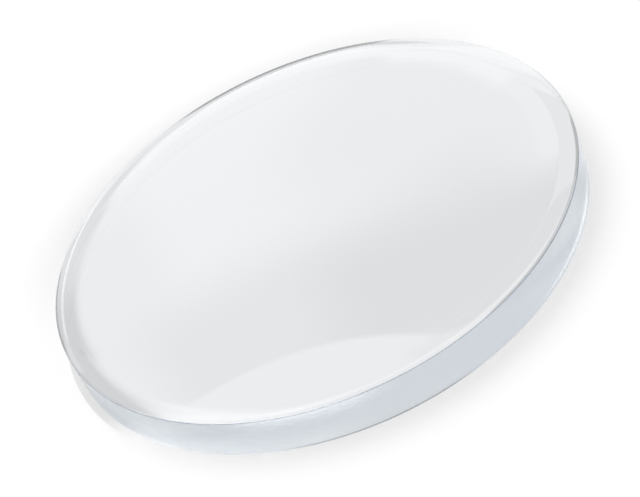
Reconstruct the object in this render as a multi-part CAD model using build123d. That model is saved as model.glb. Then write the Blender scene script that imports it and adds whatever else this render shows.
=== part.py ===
from build123d import *
import os

# Watch crystal: one round of clear glass, with flat polished faces and a finely ground wall.
# Millimetres, +Z up. The origin is the centre of the underside, the face that sits on the case's ledge.

# Driving sizes of the blank
crystal_diameter = 32.0
crystal_thickness = 2.5

# The outer face is lapped flat, and near the edge the polishing pad rolls it down in a soft shoulder.
shoulder_width = 1.1
shoulder_drop = 0.06

# A fine polished round breaks each of the two rims, the one of the outer face and the one of the underside.
outer_round = 0.06
under_round = 0.03

# Sizes that follow from those above
crystal_radius = crystal_diameter / 2
flat_radius = crystal_radius - shoulder_width
rim_height = crystal_thickness - shoulder_drop


def section_outline():
    """Half of the section through the axis, from the axis out to the wall, with both rims still sharp."""
    underside_centre = (0, 0)
    underside_rim = (crystal_radius, 0)
    outer_rim = (crystal_radius, rim_height)
    shoulder_start = (flat_radius, crystal_thickness)
    face_centre = (0, crystal_thickness)
    with BuildSketch(Plane.XZ) as section:
        with BuildLine():
            Polyline(face_centre, underside_centre, underside_rim, outer_rim)
            # The arc leaves the flat face without a crease and falls to the rim.
            TangentArc(shoulder_start, outer_rim, tangent=(1, 0))
            Line(shoulder_start, face_centre)
        make_face()
    return section.sketch


def turned_blank():
    """The blank turned about its axis, before its rims are broken."""
    with BuildPart() as blank:
        add(section_outline())
        revolve(axis=Axis.Z)
    return blank.part


def make_crystal():
    """The finished crystal: the blank with a fine round along its outer rim and one along its underside."""
    with BuildPart() as crystal:
        add(turned_blank())
        rims = crystal.edges().filter_by(GeomType.CIRCLE).group_by(SortBy.RADIUS)[-1].sort_by(Axis.Z)
        fillet(rims[-1], radius=outer_round)
        under_rims = crystal.edges().filter_by(GeomType.CIRCLE).group_by(Axis.Z)[0]
        fillet(under_rims, radius=under_round)
    return crystal.part


def straight_wall_height(crystal):
    """How much of the wall is left straight between the two rounds."""
    wall = crystal.faces().filter_by(GeomType.CYLINDER)[0]
    return wall.bounding_box().size.Z


def main():
    crystal = make_crystal()
    crystal.label = "crystal"
    os.makedirs("parts", exist_ok=True)
    export_step(crystal, "parts/crystal.step")
    lowest = crystal.bounding_box().min
    highest = crystal.bounding_box().max
    print("crystal spans", lowest, "to", highest)
    print("height of the straight wall", round(straight_wall_height(crystal), 3))


main()
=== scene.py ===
# %% [markdown]
# # A thick flat watch crystal
# A watch crystal is the clear window over a dial. This one lies loose on a pale table: one round of
# glass, flat on both faces, with a soft shoulder round its outer face and a straight wall.
# Its shape is simple, so its looks come from things that are easy to leave out, and this lesson makes
# them one after another: an exact turned surface, a clear body that is tinted only where light goes the
# long way through it, edges that keep a trace of the grinding and a painted dark rim line, and a studio
# for the polished faces to mirror. The imported part comes first. Every size below is read from it, or
# named in metres beside it.

# %% Load the frame
import math

import bpy
import numpy as np
from mathutils import Matrix, Vector


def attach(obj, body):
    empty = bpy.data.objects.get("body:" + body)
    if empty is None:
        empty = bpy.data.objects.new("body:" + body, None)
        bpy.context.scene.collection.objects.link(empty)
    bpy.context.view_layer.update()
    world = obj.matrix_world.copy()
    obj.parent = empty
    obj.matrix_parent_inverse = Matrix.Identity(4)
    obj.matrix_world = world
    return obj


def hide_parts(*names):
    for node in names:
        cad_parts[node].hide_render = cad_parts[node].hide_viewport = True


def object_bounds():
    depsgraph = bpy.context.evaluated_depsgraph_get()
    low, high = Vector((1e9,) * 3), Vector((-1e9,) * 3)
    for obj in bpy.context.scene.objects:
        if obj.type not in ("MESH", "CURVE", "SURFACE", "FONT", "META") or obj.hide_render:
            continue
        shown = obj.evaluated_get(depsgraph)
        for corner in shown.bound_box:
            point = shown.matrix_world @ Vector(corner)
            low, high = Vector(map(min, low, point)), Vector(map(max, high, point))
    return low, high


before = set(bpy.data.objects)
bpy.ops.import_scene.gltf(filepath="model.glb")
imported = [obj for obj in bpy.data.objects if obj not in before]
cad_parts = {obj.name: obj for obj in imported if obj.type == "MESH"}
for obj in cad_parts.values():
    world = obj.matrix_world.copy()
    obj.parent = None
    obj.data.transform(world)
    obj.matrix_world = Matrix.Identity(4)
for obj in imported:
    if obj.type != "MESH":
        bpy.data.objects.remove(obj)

scene = bpy.context.scene
cad_low, cad_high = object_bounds()
radius = cad_high.x
thickness = cad_high.z
print(f"crystal radius {radius * 1000:.2f} mm, thickness {thickness * 1000:.2f} mm")

# %% [markdown]
# ## The camera
# A product photographer works from some distance with a long lens, so that a round part stays a neat
# ellipse. The camera could be placed by eye, but the two rims of the crystal are known circles, and
# circles seen through a pinhole fix it: they give its height over the table, its distance, its lens and
# its roll.

# %% Camera
camera_elevation = math.radians(37.42)
camera_roll = math.radians(26.06)
camera_lens = 97.70
camera_sensor = 36.0
camera_clip = (0.005, 10.0)
camera_place = Vector((-0.000279, -0.080916, 0.061586))


def make_camera():
    """The camera looks along +Y and down by its elevation, then rolls about its own line of sight."""
    forward = Vector((0, math.cos(camera_elevation), -math.sin(camera_elevation)))
    level_right = Vector((1, 0, 0))
    level_up = level_right.cross(forward)
    right = math.cos(camera_roll) * level_right - math.sin(camera_roll) * level_up
    up = math.sin(camera_roll) * level_right + math.cos(camera_roll) * level_up
    data = bpy.data.cameras.new("camera")
    data.lens = camera_lens
    data.sensor_width = camera_sensor
    data.clip_start, data.clip_end = camera_clip
    camera = bpy.data.objects.new("camera", data)
    turn = Matrix((right, up, -forward)).transposed()
    camera.matrix_world = Matrix.Translation(camera_place) @ turn.to_4x4()
    scene.collection.objects.link(camera)
    scene.camera = camera
    return camera


camera = make_camera()
print("camera stands", [round(1000 * c) for c in camera.location], "mm from the underside's centre")

# %% [markdown]
# ## The turned surface
# A real crystal is cut as a round blank, lapped flat, and polished on a soft pad that rolls the outer
# face down a little near its edge. Last, both rims are broken with a fine round. It could be made as a
# cylinder with a bevel, but glass shows every error of its normals, so here the surface is worked out: a
# profile of radius and height, carried once round the axis. The two ends of the profile close at the
# poles on the axis.

# %% Profile of the crystal
shoulder_width = 0.0011
shoulder_drop = 0.00006
outer_round = 0.00006
under_round = 0.000015
foot_height = 0.00015
flat_radius = radius - shoulder_width
# Points of the profile on each flat face, the shoulder, each round, the wall and its foot
flat_points = 24
shoulder_points = 32
round_points = 10
wall_points = 12
foot_points = 4


def stretch(start, stop, count):
    """Points from start up to but not including stop, evenly spaced in radius and height."""
    share = np.linspace(0, 1, count, endpoint=False)[:, None]
    return (1 - share) * np.array(start) + share * np.array(stop)


def arc(centre, size, start, stop, count):
    """Points of an arc, as radius and height: at an angle a, centre plus size times (cos a, sin a)."""
    angle = np.linspace(start, stop, count, endpoint=False)
    return np.array(centre) + size * np.stack([np.cos(angle), np.sin(angle)], axis=1)


def crystal_profile():
    """Rows of radius and height from the centre of the outer face over the rim to the underside's centre.
    The shoulder is an arc that leaves the flat face level; its radius is (width^2 + drop^2) / (2 drop). A
    round that touches it from inside and touches the wall has its centre one round in from each of them."""
    big = (shoulder_width**2 + shoulder_drop**2) / (2 * shoulder_drop)
    shoulder_centre = (flat_radius, thickness - big)
    round_x = radius - outer_round
    sideways = round_x - flat_radius
    round_z = shoulder_centre[1] + math.sqrt((big - outer_round) ** 2 - sideways**2)
    lean = math.acos(sideways / (big - outer_round))
    quarter = math.pi / 2
    rows = [
        stretch((0, thickness), (flat_radius, thickness), flat_points),
        arc(shoulder_centre, big, quarter, lean, shoulder_points),
        arc((round_x, round_z), outer_round, lean, 0, round_points),
        stretch((radius, round_z), (radius, foot_height), wall_points),
        stretch((radius, foot_height), (radius, under_round), foot_points),
        arc((radius - under_round, under_round), under_round, 0, -quarter, round_points),
        stretch((radius - under_round, 0), (0, 0), flat_points),
        [(0, 0)],
    ]
    return np.concatenate(rows)


profile = crystal_profile()
print("profile of", len(profile), "points")

# %% Carry the profile round the axis
turns = 512
crease = math.radians(15)


def turned_mesh(name, profile, turns):
    """At a turn t, a profile point of radius r and height z goes to (r cos t, r sin t, z). The first and
    the last point lie on the axis, so each is one vertex, and the faces next to it are triangles."""
    angle = np.linspace(0, 2 * np.pi, turns, endpoint=False)
    rings = profile[1:-1]
    x = rings[:, :1] * np.cos(angle)
    y = rings[:, :1] * np.sin(angle)
    z = np.repeat(rings[:, 1:], turns, axis=1)
    ring_points = np.stack([x, y, z], axis=-1).reshape(-1, 3)
    points = np.concatenate([ring_points, [(0, 0, profile[0, 1]), (0, 0, profile[-1, 1])]])
    number = np.arange(len(rings) * turns).reshape(len(rings), turns)
    after = np.roll(number, -1, axis=1)
    quads = np.stack([number[:-1], number[1:], after[1:], after[:-1]], axis=-1).reshape(-1, 4)
    top, bottom = len(points) - 2, len(points) - 1
    top_fan = np.stack([np.full(turns, top), number[0], after[0]], axis=-1)
    bottom_fan = np.stack([np.full(turns, bottom), after[-1], number[-1]], axis=-1)
    mesh = bpy.data.meshes.new(name)
    faces = quads.tolist() + top_fan.tolist() + bottom_fan.tolist()
    mesh.from_pydata(points.tolist(), [], faces)
    mesh.polygons.foreach_set("use_smooth", np.ones(len(faces), bool))
    mesh.set_sharp_from_angle(angle=crease)
    mesh.validate()
    mesh.update()
    return mesh


crystal = bpy.data.objects.new("crystal_glass", turned_mesh("crystal_glass", profile, turns))
scene.collection.objects.link(crystal)
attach(crystal, "root")
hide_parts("crystal")
print("crystal surface of", len(crystal.data.polygons), "faces")

# %% [markdown]
# ## Where the crystal is bright, and where it is still ground
# Both faces and the shoulder are polished bright. The wall, which the case hides, is only finely ground.
# Between them the outer rim gets a hairline of ground glass whose grey colour is painted shade: it draws
# the thin dark line round the crystal, strong in some stretches and faint or missing in others, set by
# turn. A short piece of the same grey line runs along the wall's foot in front, where it paints the dark
# contact shade under the rim. These could be separate materials, but a clear body needs one closed skin
# with one material, so the roughness and the painted grey are marked on the mesh as shares from 0, bright
# and clear, to 1, ground and grey.

# %% The ground hairline
# Stretches of the hairline, the painted dark rim line: middle and half length in degrees round the rim from
# +X over the back, then how far it reaches in from the wall, and how strong its grey shade and roughness
# are
line_stretches = [
    (80, 22, 0.00030, 1.0),
    (318, 22, 0.00016, 0.75),
    (340, 7, 0.00016, 1.0),
    (280, 12, 0.00007, 0.25),
    (203, 10, 0.00010, 0.4),
    (173, 11, 0.00013, 1.0),
    (145, 22, 0.00008, 0.3),
    (0, 8, 0.00010, 0.5),
]
rim_height = thickness - shoulder_drop
line_fade = 10
line_soft = 0.00004
line_least = 0.00003
# The line ends on the outer round, as shares of the round's size over the wall: it begins at the first, and
# is full when it has risen by the second
line_end_shares = (0.2, 0.3)
# The stretch along the wall's foot where the grey line paints the dark contact shade: middle and half
# length, and how strong it is
foot_shade_stretch = (266, 13, 0.95)


def smooth(share):
    """3 s^2 - 2 s^3 of a share held between 0 and 1, which starts and ends level."""
    share = np.clip(share, 0, 1)
    return share * share * (3 - 2 * share)


def near_middle(turn, middle, half):
    """1 within half of the middle, falling to 0 over the fade, all in degrees round the rim."""
    apart = np.abs((turn - middle + 180) % 360 - 180)
    return smooth((half + line_fade - apart) / line_fade)


def hairline(turn):
    """At a turn in degrees: how far the line reaches in from the wall, and how strong its painted shade is.
    """
    width = np.full(len(turn), line_least)
    left = np.zeros(len(turn))
    for middle, half, reach, strength in line_stretches:
        near = near_middle(turn, middle, half)
        width = np.maximum(width, reach * near)
        left = np.maximum(left, strength * near)
    return width, left


def foot_share(turn, height):
    """The line along the wall's foot, a painted contact shade: full up to half the foot's height, and gone
    at the whole of it.
    """
    middle, half, strength = foot_shade_stretch
    return strength * near_middle(turn, middle, half) * smooth(2 * (1 - height / foot_height))


def mark_hairline(piece):
    """Share of every point in the line, which is ground and painted grey as shade: the line starts its
    width in from the wall and ends on the outer round. The line at the foot lies on the wall alone."""
    mesh = piece.data
    points = np.empty(len(mesh.vertices) * 3, np.float32)
    mesh.vertices.foreach_get("co", points)
    points = points.reshape(-1, 3)
    reach = np.hypot(points[:, 0], points[:, 1])
    turn = np.degrees(np.arctan2(points[:, 1], points[:, 0]))
    width, left = hairline(turn)
    inner = smooth((reach - (radius - width)) / line_soft + 0.5)
    line_end, line_rise = (part * outer_round for part in line_end_shares)
    over_wall = points[:, 2] - (rim_height - outer_round)
    outer = smooth((over_wall - line_end) / line_rise)
    on_wall = reach > radius - under_round
    share = np.maximum(inner * outer * left, on_wall * foot_share(turn, points[:, 2]))
    layer = mesh.attributes.new("ground_and_shade_line", "FLOAT", "POINT")
    layer.data.foreach_set("value", share.astype(np.float32))
    return int((share > 0).sum())


print("points on the ground hairline:", mark_hairline(crystal))


# %% The ground wall
upright_limit = 0.1


def mark_wall(piece):
    """1 on the faces whose normals lie level, or nearly, and 0 on all others."""
    mesh = piece.data
    normals = np.empty(len(mesh.polygons) * 3, np.float32)
    mesh.polygon_normals.foreach_get("vector", normals)
    on_wall = np.abs(normals.reshape(-1, 3)[:, 2]) < upright_limit
    layer = mesh.attributes.new("ground_wall", "FLOAT", "FACE")
    layer.data.foreach_set("value", on_wall.astype(np.float32))
    return int(on_wall.sum())


print("faces of the ground wall:", mark_wall(crystal))

# %% [markdown]
# ## Helpers for node trees
# The glass, the table and the room are drawn with the same few sums: a smooth edge, one level laid over
# another, a distance. They could be wired by hand in the shader editor. Here a function adds each node
# and returns its output, so that a long chain reads like arithmetic.

# %% One node for each sum
def feed(tree, value, socket):
    """The output of another node is linked to the socket, and a number or a colour is written on it."""
    if isinstance(value, bpy.types.NodeSocket):
        tree.links.new(value, socket)
    else:
        socket.default_value = value


def math_node(tree, operation, *values):
    """One Math node. Each value is a number or the output of another node."""
    node = tree.nodes.new("ShaderNodeMath")
    node.operation = operation
    for value, socket in zip(values, node.inputs):
        feed(tree, value, socket)
    return node.outputs[0]


def smooth_step(tree, value, start, stop):
    """0 at start and 1 at stop, smooth between and held beyond. Start may be the larger of the two."""
    step = tree.nodes.new("ShaderNodeMapRange")
    step.interpolation_type = "SMOOTHSTEP"
    step.inputs["From Min"].default_value = min(start, stop)
    step.inputs["From Max"].default_value = max(start, stop)
    step.inputs["To Min"].default_value = 1 if start > stop else 0
    step.inputs["To Max"].default_value = 0 if start > stop else 1
    feed(tree, value, step.inputs["Value"])
    return step.outputs["Result"]


def lay_over(tree, below, mask, above):
    """The level above where the mask is 1, and the level below where it is 0."""
    mix = tree.nodes.new("ShaderNodeMix")
    feed(tree, mask, mix.inputs["Factor"])
    feed(tree, below, mix.inputs["A"])
    feed(tree, above, mix.inputs["B"])
    return mix.outputs["Result"]


def distance_of(tree, x, y):
    """The square root of x squared plus y squared."""
    square = math_node(tree, "MULTIPLY", x, x)
    return math_node(tree, "SQRT", math_node(tree, "MULTIPLY_ADD", y, y, square))


def near_turn(tree, turn, middle, half, fade):
    """1 about the middle turn and 0 away from it, with a fade that lies half inside the half length and
    half outside. All are in degrees but the turn itself."""
    apart = math_node(tree, "SUBTRACT", turn, math.radians(middle))
    apart = math_node(tree, "WRAP", apart, math.pi, -math.pi)
    apart = math_node(tree, "ABSOLUTE", apart)
    return smooth_step(tree, apart, math.radians(half + fade / 2), math.radians(half - fade / 2))


print("helpers for node trees are ready")

# %% [markdown]
# ## The glass
# Clear mineral glass is a surface that mirrors and bends light, and a body that takes a little of it on
# the way. Straight through the faces the glass looks colourless, and along the wall, where light travels
# a long way inside, it turns blue. A tint on the surface would colour every view alike, so the tint is in
# the body, as Volume Absorption. The ground places scatter light as it comes in: their roughness is
# counted only on the outer side of the skin, because light that meets the wall from inside is mirrored
# whole. Grinding leaves fine lines round the wall, and polishing leaves a haze that shows only in a sharp
# light.

# %% Grain and haze
grain_frequency = (350, 350, 7000)
grain_detail = 3
haze_frequency = (260, 260, 260)
haze_detail = 2


def object_noise(tree, frequency, detail):
    """Noise on Object coordinates, with so many swings a metre along X, Y and Z."""
    place = tree.nodes.new("ShaderNodeTexCoord")
    scaled = tree.nodes.new("ShaderNodeVectorMath")
    scaled.operation = "MULTIPLY"
    scaled.inputs[1].default_value = frequency
    tree.links.new(place.outputs["Object"], scaled.inputs[0])
    noise = tree.nodes.new("ShaderNodeTexNoise")
    noise.inputs["Scale"].default_value = 1
    noise.inputs["Detail"].default_value = detail
    tree.links.new(scaled.outputs["Vector"], noise.inputs["Vector"])
    return noise.outputs[0]


print(f"grinding lines about {1000 / grain_frequency[2]:.2f} mm apart on the wall")

# %% Glass material
glass_ior = 1.52
glass_tint = (0.40, 0.56, 0.70, 1)
glass_density = 10.0
line_roughness = 0.12
line_shade_grey = 0.32
wall_roughness = 0.2
grain_share = 0.15
grain_depth = 0.0000012
haze_roughness = 0.006


def attribute_value(tree, name):
    """The value that the mesh holds under a name."""
    mark = tree.nodes.new("ShaderNodeAttribute")
    mark.attribute_name = name
    return mark.outputs["Fac"]


def ground_roughness(tree, line, wall, grain, outside):
    """Line share times its roughness, plus wall share times its own, which the grain raises and lowers,
    plus the haze of the polish."""
    haze = math_node(tree, "MULTIPLY", object_noise(tree, haze_frequency, haze_detail), haze_roughness)
    haze = math_node(tree, "MULTIPLY", haze, outside)
    swing = math_node(tree, "MULTIPLY_ADD", grain, 2 * grain_share, 1 - grain_share)
    wall = math_node(tree, "MULTIPLY", wall, swing)
    rough = math_node(tree, "MULTIPLY_ADD", wall, wall_roughness, haze)
    return math_node(tree, "MULTIPLY_ADD", line, line_roughness, rough)


def grain_bump(tree, wall, grain):
    """The grain as tiny ridges, of the wall's share alone."""
    bump = tree.nodes.new("ShaderNodeBump")
    bump.inputs["Distance"].default_value = grain_depth
    tree.links.new(wall, bump.inputs["Strength"])
    tree.links.new(grain, bump.inputs["Height"])
    return bump.outputs["Normal"]


def glass_material():
    """Principled glass over Volume Absorption, which takes density times (1 - colour) of light a metre."""
    material = bpy.data.materials.new("crystal_glass")
    material.use_nodes = True
    tree = material.node_tree
    shader = tree.nodes["Principled BSDF"]
    shader.inputs["Transmission Weight"].default_value = 1
    shader.inputs["IOR"].default_value = glass_ior
    side = tree.nodes.new("ShaderNodeNewGeometry")
    outside = math_node(tree, "SUBTRACT", 1, side.outputs["Backfacing"])
    line = math_node(tree, "MULTIPLY", attribute_value(tree, "ground_and_shade_line"), outside)
    wall = math_node(tree, "MULTIPLY", attribute_value(tree, "ground_wall"), outside)
    grain = object_noise(tree, grain_frequency, grain_detail)
    tree.links.new(ground_roughness(tree, line, wall, grain, outside), shader.inputs["Roughness"])
    tree.links.new(grain_bump(tree, wall, grain), shader.inputs["Normal"])
    # The grey of the line is painted shade: it darkens the light let through, seen from outside alone.
    colour = tree.nodes.new("ShaderNodeMix")
    colour.data_type = "RGBA"
    colour.inputs["A"].default_value = (1, 1, 1, 1)
    colour.inputs["B"].default_value = (line_shade_grey, line_shade_grey, line_shade_grey, 1)
    tree.links.new(line, colour.inputs["Factor"])
    tree.links.new(colour.outputs["Result"], shader.inputs["Base Color"])
    absorb = tree.nodes.new("ShaderNodeVolumeAbsorption")
    absorb.inputs["Color"].default_value = glass_tint
    absorb.inputs["Density"].default_value = glass_density
    tree.links.new(absorb.outputs["Volume"], tree.nodes["Material Output"].inputs["Volume"])
    return material


crystal.data.materials.append(glass_material())
print("the glass has", len(crystal.data.materials[0].node_tree.nodes), "nodes")

# %% [markdown]
# ## The table
# The crystal lies on a pale table. A plain white floor would do for a solid part, but a renderer draws
# the shadow of glass as if it were solid, and through the glass the floor would look dark. So the table
# answers each kind of ray by itself. The eye sees white with a soft shadow, and two faint painted shades
# by the wall. Light sees a plain grey. Through the glass the table is an even pale shade, with a painted
# darker crescent for the shade that the wall throws inwards on the left. The upright wall mirrors the
# table beside it, so painted patches of light lie there, seen in that mirror alone: painted reflections
# in the wall.

# %% Shades on the table
crescent_bearing = math.radians(-138)
crescent_width = 0.00152
crescent_soft = 0.0006
crescent_fade = (0.0025, 0.0075)
# Faint shades on the table: middle, half length and fade in degrees from +X over the back, first and last
# distance from the wall, how softly they end, and the light added
table_shades = {
    "shade behind": (100, 50, 50, -0.002, 0.0045, 0.006, -0.16),
    "left contact": (190, 15, 12, -0.002, 0.00045, 0.0001, -0.2),
}
# Painted reflections: patches of light on the table that mirrored rays alone see, so that they show as
# light
# in the wall: middle and half length in degrees, first and last distance from the wall, how softly they
# end, and the light added
wall_reflection_fade = 16
painted_wall_reflections = {
    "left card": (236, 24, -0.002, 0.0009, 0.0018, 1.7),
    "far left card": (198, 10, -0.002, 0.003, 0.001, 0.2),
    "right card": (318, 14, -0.002, 0.0016, 0.001, 0.42),
    "far right card": (347, 8, -0.002, 0.003, 0.001, 0.45),
    "front strip": (250, 15, 0.0022, 0.0040, 0.0002, 4.0),
    "foot strip": (322, 14, 0.00016, 0.00030, 0.00005, 2.0),
}


def table_place(tree):
    """x and y of a place on the table, in metres from the crystal's axis."""
    place = tree.nodes.new("ShaderNodeTexCoord")
    parts = tree.nodes.new("ShaderNodeSeparateXYZ")
    tree.links.new(place.outputs["Object"], parts.inputs[0])
    return parts.outputs["X"], parts.outputs["Y"]


def wall_crescent(tree):
    """The shade lies inside the crystal's round and outside the same round moved away from the light, and
    it fades out towards the back."""
    x, y = table_place(tree)
    moved_x = math_node(tree, "ADD", x, math.sin(crescent_bearing) * crescent_width)
    moved_y = math_node(tree, "ADD", y, math.cos(crescent_bearing) * crescent_width)
    half_soft = crescent_soft / 2
    shade = smooth_step(tree, distance_of(tree, moved_x, moved_y), radius - half_soft, radius + half_soft)
    under = math_node(tree, "LESS_THAN", distance_of(tree, x, y), radius)
    front = smooth_step(tree, y, crescent_fade[1], crescent_fade[0])
    return math_node(tree, "MULTIPLY", math_node(tree, "MULTIPLY", shade, under), front)


def table_ring(tree, middle, half, fade, first, last, soft):
    """A strip bent round the crystal on the table, between two distances from the wall."""
    x, y = table_place(tree)
    near = near_turn(tree, math_node(tree, "ARCTAN2", y, x), middle, half, fade)
    reach = distance_of(tree, x, y)
    beyond = smooth_step(tree, reach, radius + first - soft / 2, radius + first + soft / 2)
    within = smooth_step(tree, reach, radius + last + soft / 2, radius + last - soft / 2)
    return math_node(tree, "MULTIPLY", math_node(tree, "MULTIPLY", beyond, within), near)


print("on the table:", ", ".join([*table_shades, *painted_wall_reflections]))

# %% Table material and table
floor_size = 4.0
floor_gap = 0.00005
floor_colour = (0.5, 0.5, 0.5, 1)
floor_roughness = 0.9
floor_glow = 0.54
through_colour = (0.985, 0.995, 1.01, 1)
through_light = 0.79
through_shade = 0.66


def seen_by_eye(tree):
    """1 for rays from the camera, and for those that a polished or clear surface sends on, or else 0."""
    path = tree.nodes.new("ShaderNodeLightPath")
    first = math_node(tree, "MAXIMUM", path.outputs["Is Camera Ray"], path.outputs["Is Glossy Ray"])
    return math_node(tree, "MAXIMUM", first, path.outputs["Is Transmission Ray"])


def floor_material():
    """White with a soft shadow and two painted shades to the eye, plain grey to light, and shaded white
    through the glass. The painted reflections, patches of light for the wall to mirror, are added for
    mirrored rays alone."""
    material = bpy.data.materials.new("table")
    material.use_nodes = True
    tree = material.node_tree
    top = tree.nodes["Principled BSDF"]
    top.inputs["Base Color"].default_value = floor_colour
    top.inputs["Roughness"].default_value = floor_roughness
    top.inputs["Specular IOR Level"].default_value = 0
    top.inputs["Emission Color"].default_value = (1, 1, 1, 1)
    shaded = floor_glow
    for *numbers, light in table_shades.values():
        shaded = math_node(tree, "MULTIPLY_ADD", table_ring(tree, *numbers), light, shaded)
    glow = math_node(tree, "MULTIPLY", seen_by_eye(tree), shaded)
    mirrored = tree.nodes.new("ShaderNodeLightPath").outputs["Is Glossy Ray"]
    # Painted reflections: light on the table that only mirrored rays see, shown as light patches in the
    # wall
    for middle, half, *numbers, light in painted_wall_reflections.values():
        ring = table_ring(tree, middle, half, wall_reflection_fade, *numbers)
        card = math_node(tree, "MULTIPLY", ring, mirrored)
        glow = math_node(tree, "MULTIPLY_ADD", card, light, glow)
    tree.links.new(glow, top.inputs["Emission Strength"])
    through = tree.nodes.new("ShaderNodeEmission")
    through.inputs["Color"].default_value = through_colour
    level = lay_over(tree, through_light, wall_crescent(tree), through_shade)
    tree.links.new(level, through.inputs["Strength"])
    path = tree.nodes.new("ShaderNodeLightPath")
    either = tree.nodes.new("ShaderNodeMixShader")
    tree.links.new(path.outputs["Is Transmission Ray"], either.inputs["Fac"])
    tree.links.new(top.outputs["BSDF"], either.inputs[1])
    tree.links.new(through.outputs["Emission"], either.inputs[2])
    tree.links.new(either.outputs["Shader"], tree.nodes["Material Output"].inputs["Surface"])
    return material


def make_floor():
    """One large square just under the crystal, so that the two surfaces don't share a plane."""
    half = floor_size / 2
    corners = [(-half, -half), (half, -half), (half, half), (-half, half)]
    mesh = bpy.data.meshes.new("table")
    mesh.from_pydata([(x, y, -floor_gap) for x, y in corners], [], [(0, 1, 2, 3)])
    mesh.materials.append(floor_material())
    floor = bpy.data.objects.new("table", mesh)
    scene.collection.objects.link(floor)


make_floor()
print(f"table {floor_size:.0f} m wide, {floor_gap * 1000:.2f} mm under the crystal")

# %% [markdown]
# ## The room
# The faces of the crystal are mirrors as well as windows, so the studio shows on them as faint light and
# dark areas: a soft box overhead, windows, and the black flags that keep light off. It could be built of
# glowing cards that stand in the scene, but cards also light the table and show through the glass. Here
# they are painted in the world, for mirrored rays alone.
# A camera mirrored in the outer face looks up through it, so every place on the face stands for one
# direction in the room. The panels are laid out in that plan, in millimetres from the crystal's axis. The
# flat of the face is the plan within its own radius, and the tilted shoulder mirrors the places farther
# out.

# %% Plan of the room
lowest_rise = 0.05


def plan_of_the_room(tree):
    """x and y, in mm, of the place where a ray from the mirrored camera to this direction passes the face:
    the camera's own place, plus its height over the face times the direction, divided by its rise. The
    rise is kept above a least one, because a level ray never passes the face."""
    place = tree.nodes.new("ShaderNodeTexCoord")
    view = tree.nodes.new("ShaderNodeVectorMath")
    view.operation = "NORMALIZE"
    tree.links.new(place.outputs["Generated"], view.inputs[0])
    parts = tree.nodes.new("ShaderNodeSeparateXYZ")
    tree.links.new(view.outputs["Vector"], parts.inputs[0])
    height = (camera_place.z - thickness) * 1000
    rise = math_node(tree, "MAXIMUM", parts.outputs["Z"], lowest_rise)
    far = math_node(tree, "DIVIDE", height, rise)
    x = math_node(tree, "MULTIPLY_ADD", parts.outputs["X"], far, camera_place.x * 1000)
    y = math_node(tree, "MULTIPLY_ADD", parts.outputs["Y"], far, camera_place.y * 1000)
    return x, y


print(f"the mirrored camera is {(camera_place.z - thickness) * 1000:.1f} mm from the outer face")


# %% Shapes of the panels
def card_mask(tree, x, y, centre, half, turn, fade):
    """A square card: the place is turned into the card's own directions, each held inside its half size."""
    angle = math.radians(turn)
    right = math_node(tree, "SUBTRACT", x, centre[0])
    ahead = math_node(tree, "SUBTRACT", y, centre[1])
    directions = ((math.cos(angle), math.sin(angle)), (-math.sin(angle), math.cos(angle)))
    masks = []
    for (share_x, share_y), size, soft in zip(directions, half, fade):
        part = math_node(tree, "MULTIPLY", ahead, share_y)
        along = math_node(tree, "MULTIPLY_ADD", right, share_x, part)
        away = math_node(tree, "ABSOLUTE", along)
        masks.append(smooth_step(tree, away, size + soft / 2, size - soft / 2))
    return math_node(tree, "MULTIPLY", *masks)


def disc_mask(tree, x, y, centre, half, fade):
    """An oval, which ends where the distance from its centre, as a share of its half sizes, is 1. The fade
    lies inside it."""
    right = math_node(tree, "SUBTRACT", x, centre[0])
    ahead = math_node(tree, "SUBTRACT", y, centre[1])
    right = math_node(tree, "DIVIDE", right, half[0])
    ahead = math_node(tree, "DIVIDE", ahead, half[1])
    return smooth_step(tree, distance_of(tree, right, ahead), 1, 1 - fade)


def arc_mask(tree, turn, reach, turns, reaches, fade):
    """A strip bent round the crystal between two turns and two reaches."""
    middle = (turns[0] + turns[1]) / 2
    half = (turns[1] - turns[0]) / 2
    near = near_turn(tree, turn, middle, half, fade[0])
    soft = fade[1] / 2
    beyond = smooth_step(tree, reach, reaches[0] - soft, reaches[0] + soft)
    within = smooth_step(tree, reach, reaches[1] + soft, reaches[1] - soft)
    return math_node(tree, "MULTIPLY", math_node(tree, "MULTIPLY", near, beyond), within)


print("a panel is a card, a face card, a disc or an arc")

# %% [markdown]
# ## The panels
# A level of 1 is white, and a clean face mirrors about a twentieth of it, so that a panel of 2 only lifts
# the face by a tenth. The order matters: each panel is laid over those before it. The open sky comes
# first, over a dimmer level near the horizon, which keeps the faces from turning white when they are seen
# at a low angle. Then come the far windows, the low cards and the flags, the soft box that fills the flat
# face, the thin lights and shades along its rim, and last the lamps and flags near the camera.

# %% Panels
low_sky_level = 0.9
face_reach = 15.1
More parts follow.
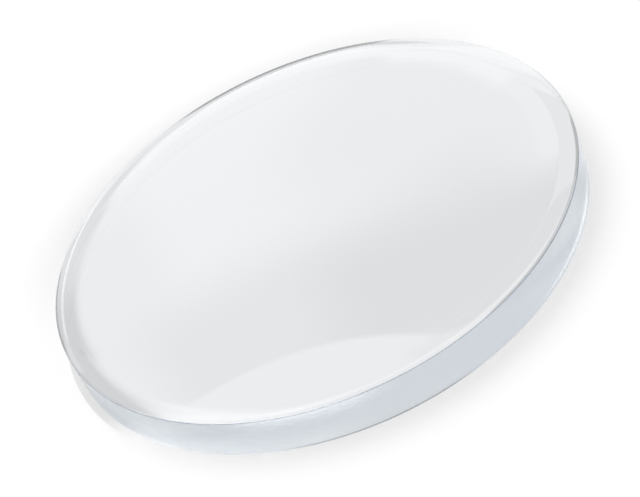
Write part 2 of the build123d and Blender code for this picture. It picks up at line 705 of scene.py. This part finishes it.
# Cards: centre, half sizes across and along, turn in degrees, fades, level. Face cards are cards that keep
# within the reach of the flat face. Discs: centre, half sizes, fade as a share, level.
# Arcs: first and last turn clockwise from +X, inner and outer reach, fades, level.
panels = [
    ("disc", "open sky", (0, 0), (110, 110), 0.5, 2.0),
    ("card", "far window", (1.5, 20.5), (10.2, 22.5), 0, (6, 14), 2.8),
    ("arc", "low near card", (98, 132), (52, 160), (12, 30), 9.5),
    ("arc", "low left card", (134, 168), (52, 160), (12, 30), 7.0),
    ("arc", "right window", (310, 338), (13, 90), (5, 1), 2.75),
    ("card", "far flag", (3, 87), (16, 44), 0, (6, 10), 0.0),
    ("card", "far right flag", (17, 39.5), (2.5, 10.5), 0, (2.5, 4), 0.2),
    ("card", "far left haze", (-15, 40), (5, 26), 0, (5, 10), 1.3),
    ("card", "far left card", (-10, 44), (5, 16), 0, (5, 12), 1.1),
    ("card", "left flag", (-21, 16.5), (9.6, 19.5), 0, (3.5, 5), 0.5),
    ("card", "left strip", (-23.3, 16), (1.2, 24), -5, (1.8, 8), 2.9),
    ("arc", "right screen", (-7, 40), (14, 45), (6, 1), 1.15),
    ("disc", "big soft box", (0, 0), (face_reach, face_reach), 0.02, 2.17),
    ("disc", "haze on the box", (5.5, 4), (9.5, 12), 1.0, 1.55),
    ("face card", "right of the box", (14, 4), (8, 9), 0, (6, 4), 1.6),
    ("face card", "left of the box", (-14, 1), (5, 8), 0, (4, 6), 1.75),
    ("face card", "grey card", (0.5, -15), (11.3, 12.8), 4, (5, 7), 1.03),
    ("face card", "dark card", (8, -17.3), (10.2, 11.7), -5, (6, 5.5), 0.2),
    ("arc", "edge of the left flag", (165, 222), (14.6, 15.3), (8, 1), 0.4),
    ("arc", "light by the far rim", (230, 312), (14.3, 15.3), (12, 0.8), 2.65),
    ("arc", "light by the far right rim", (308, 350), (13.6, 15.3), (8, 1.6), 2.6),
    ("arc", "light by the right rim", (-12, 22), (13.7, 15.3), (6, 0.6), 1.95),
    ("disc", "overhead box", (-6.9, -24.2), (14.4, 13.9), 0.04, 2.0),
    ("disc", "soft glow", (-12, -16), (6, 7), 1.0, 3.0),
    ("arc", "line by the near rim", (78, 104), (32, 34.5), (6, 2), 2.9),
    ("disc", "near glow", (-8, -31.5), (8, 5.5), 1.0, 4.0),
    ("disc", "hot centre", (-16, -27.5), (11, 15), 1.0, 6.0),
    ("card", "low left flag", (-26.8, -13), (9.2, 14), -8, (3.5, 3), 0.5),
    ("card", "low strip", (-25.5, -3), (1.6, 4.5), 0, (2, 3), 1.6),
    ("disc", "arm of the flag", (-18.5, -3.1), (3.6, 0.9), 0.8, 0.0),
    ("arc", "edge of the near right flag", (76, 86), (15, 31), (4, 4), 1.4),
    ("arc", "near right flag", (40, 78.5), (15.0, 30), (5, 4), 0.2),
]
print("panels in the room:", len(panels))

# %% World
world_fill = 0.6
sky_through_glass = 0.81
white = 1.0


def panel_mask(tree, shape, numbers, x, y, turn, reach):
    """The mask of one row of the table of panels."""
    if shape == "arc":
        return arc_mask(tree, turn, reach, *numbers)
    if shape == "disc":
        return disc_mask(tree, x, y, *numbers)
    return card_mask(tree, x, y, *numbers)


def mirrored_room(tree):
    """The level that a polished face mirrors from each direction: the low sky, with the panels over it."""
    x, y = plan_of_the_room(tree)
    turn = math_node(tree, "ARCTAN2", math_node(tree, "MULTIPLY", y, -1), x)
    reach = distance_of(tree, x, y)
    level = low_sky_level
    for shape, name, *numbers in panels:
        own_level = numbers.pop()
        mask = panel_mask(tree, shape, numbers, x, y, turn, reach)
        if shape == "face card":
            inside = math_node(tree, "LESS_THAN", reach, face_reach)
            mask = math_node(tree, "MULTIPLY", mask, inside)
        level = lay_over(tree, level, mask, own_level)
    return level


def make_world():
    """Plain fill for the table, panels for the mirror, an even sky out of the glass, white to the eye."""
    world = bpy.data.worlds.new("room")
    scene.world = world
    world.use_nodes = True
    tree = world.node_tree
    path = tree.nodes.new("ShaderNodeLightPath")
    level = lay_over(tree, world_fill, path.outputs["Is Glossy Ray"], mirrored_room(tree))
    level = lay_over(tree, level, path.outputs["Is Transmission Ray"], sky_through_glass)
    level = lay_over(tree, level, path.outputs["Is Camera Ray"], white)
    room = tree.nodes["Background"]
    room.inputs["Color"].default_value = (1, 1, 1, 1)
    tree.links.new(level, room.inputs["Strength"])
    return world


world = make_world()
print("the world has", len(world.node_tree.nodes), "nodes")

# %% [markdown]
# ## The lamps
# The shadow on the table is soft and lies on the near right, so the main light is a large lamp high on
# the far left, and a small low one in front sharpens the contact. A sun would give a hard shadow, and the
# world alone hardly any. The lamps are hidden from the mirror and from the glass, which have the painted
# room.

# %% Lamps
# Bearing and rise in degrees, distance and width in metres, radiance
lamps = {
    "main_lamp": (-28, 60, 0.5, 0.4, 2.9),
    "front_lamp": (150, 34, 0.5, 0.08, 8.0),
}


def direction(bearing, rise):
    """A bearing of 0 is away from the camera, along +Y, and grows towards +X. Both are in radians."""
    flat = math.cos(rise)
    return Vector((math.sin(bearing) * flat, math.cos(bearing) * flat, math.sin(rise)))


def make_lamp(name, bearing, rise, distance, width, radiance):
    """A round lamp that faces the crystal. Its power in watts is pi times its radiance times its area."""
    data = bpy.data.lights.new(name, "AREA")
    data.shape = "DISK"
    data.size = width
    data.energy = radiance * math.pi * math.pi * (width / 2) ** 2
    lamp = bpy.data.objects.new(name, data)
    towards = direction(math.radians(bearing), math.radians(rise))
    lamp.location = towards * distance
    lamp.rotation_mode = "QUATERNION"
    lamp.rotation_quaternion = towards.to_track_quat("Z", "Y")
    lamp.visible_glossy = False
    lamp.visible_transmission = False
    scene.collection.objects.link(lamp)
    return lamp


for name, numbers in lamps.items():
    lamp = make_lamp(name, *numbers)
    print(name, "stands", [round(1000 * c) for c in lamp.location], "mm from the underside's centre")

# %% [markdown]
# ## Bounces and colour
# Light that enters by the shoulder is mirrored many times between the two faces before it leaves. A
# renderer that gives up early draws black dashes along the rim, so it is allowed far more bounces here
# than it takes for solid parts.

# %% Bounces and colour
glass_bounces = 128
scene.view_settings.view_transform = "Standard"
scene.cycles.max_bounces = glass_bounces
scene.cycles.glossy_bounces = glass_bounces
scene.cycles.transmission_bounces = glass_bounces
print("bounces in the glass:", glass_bounces)
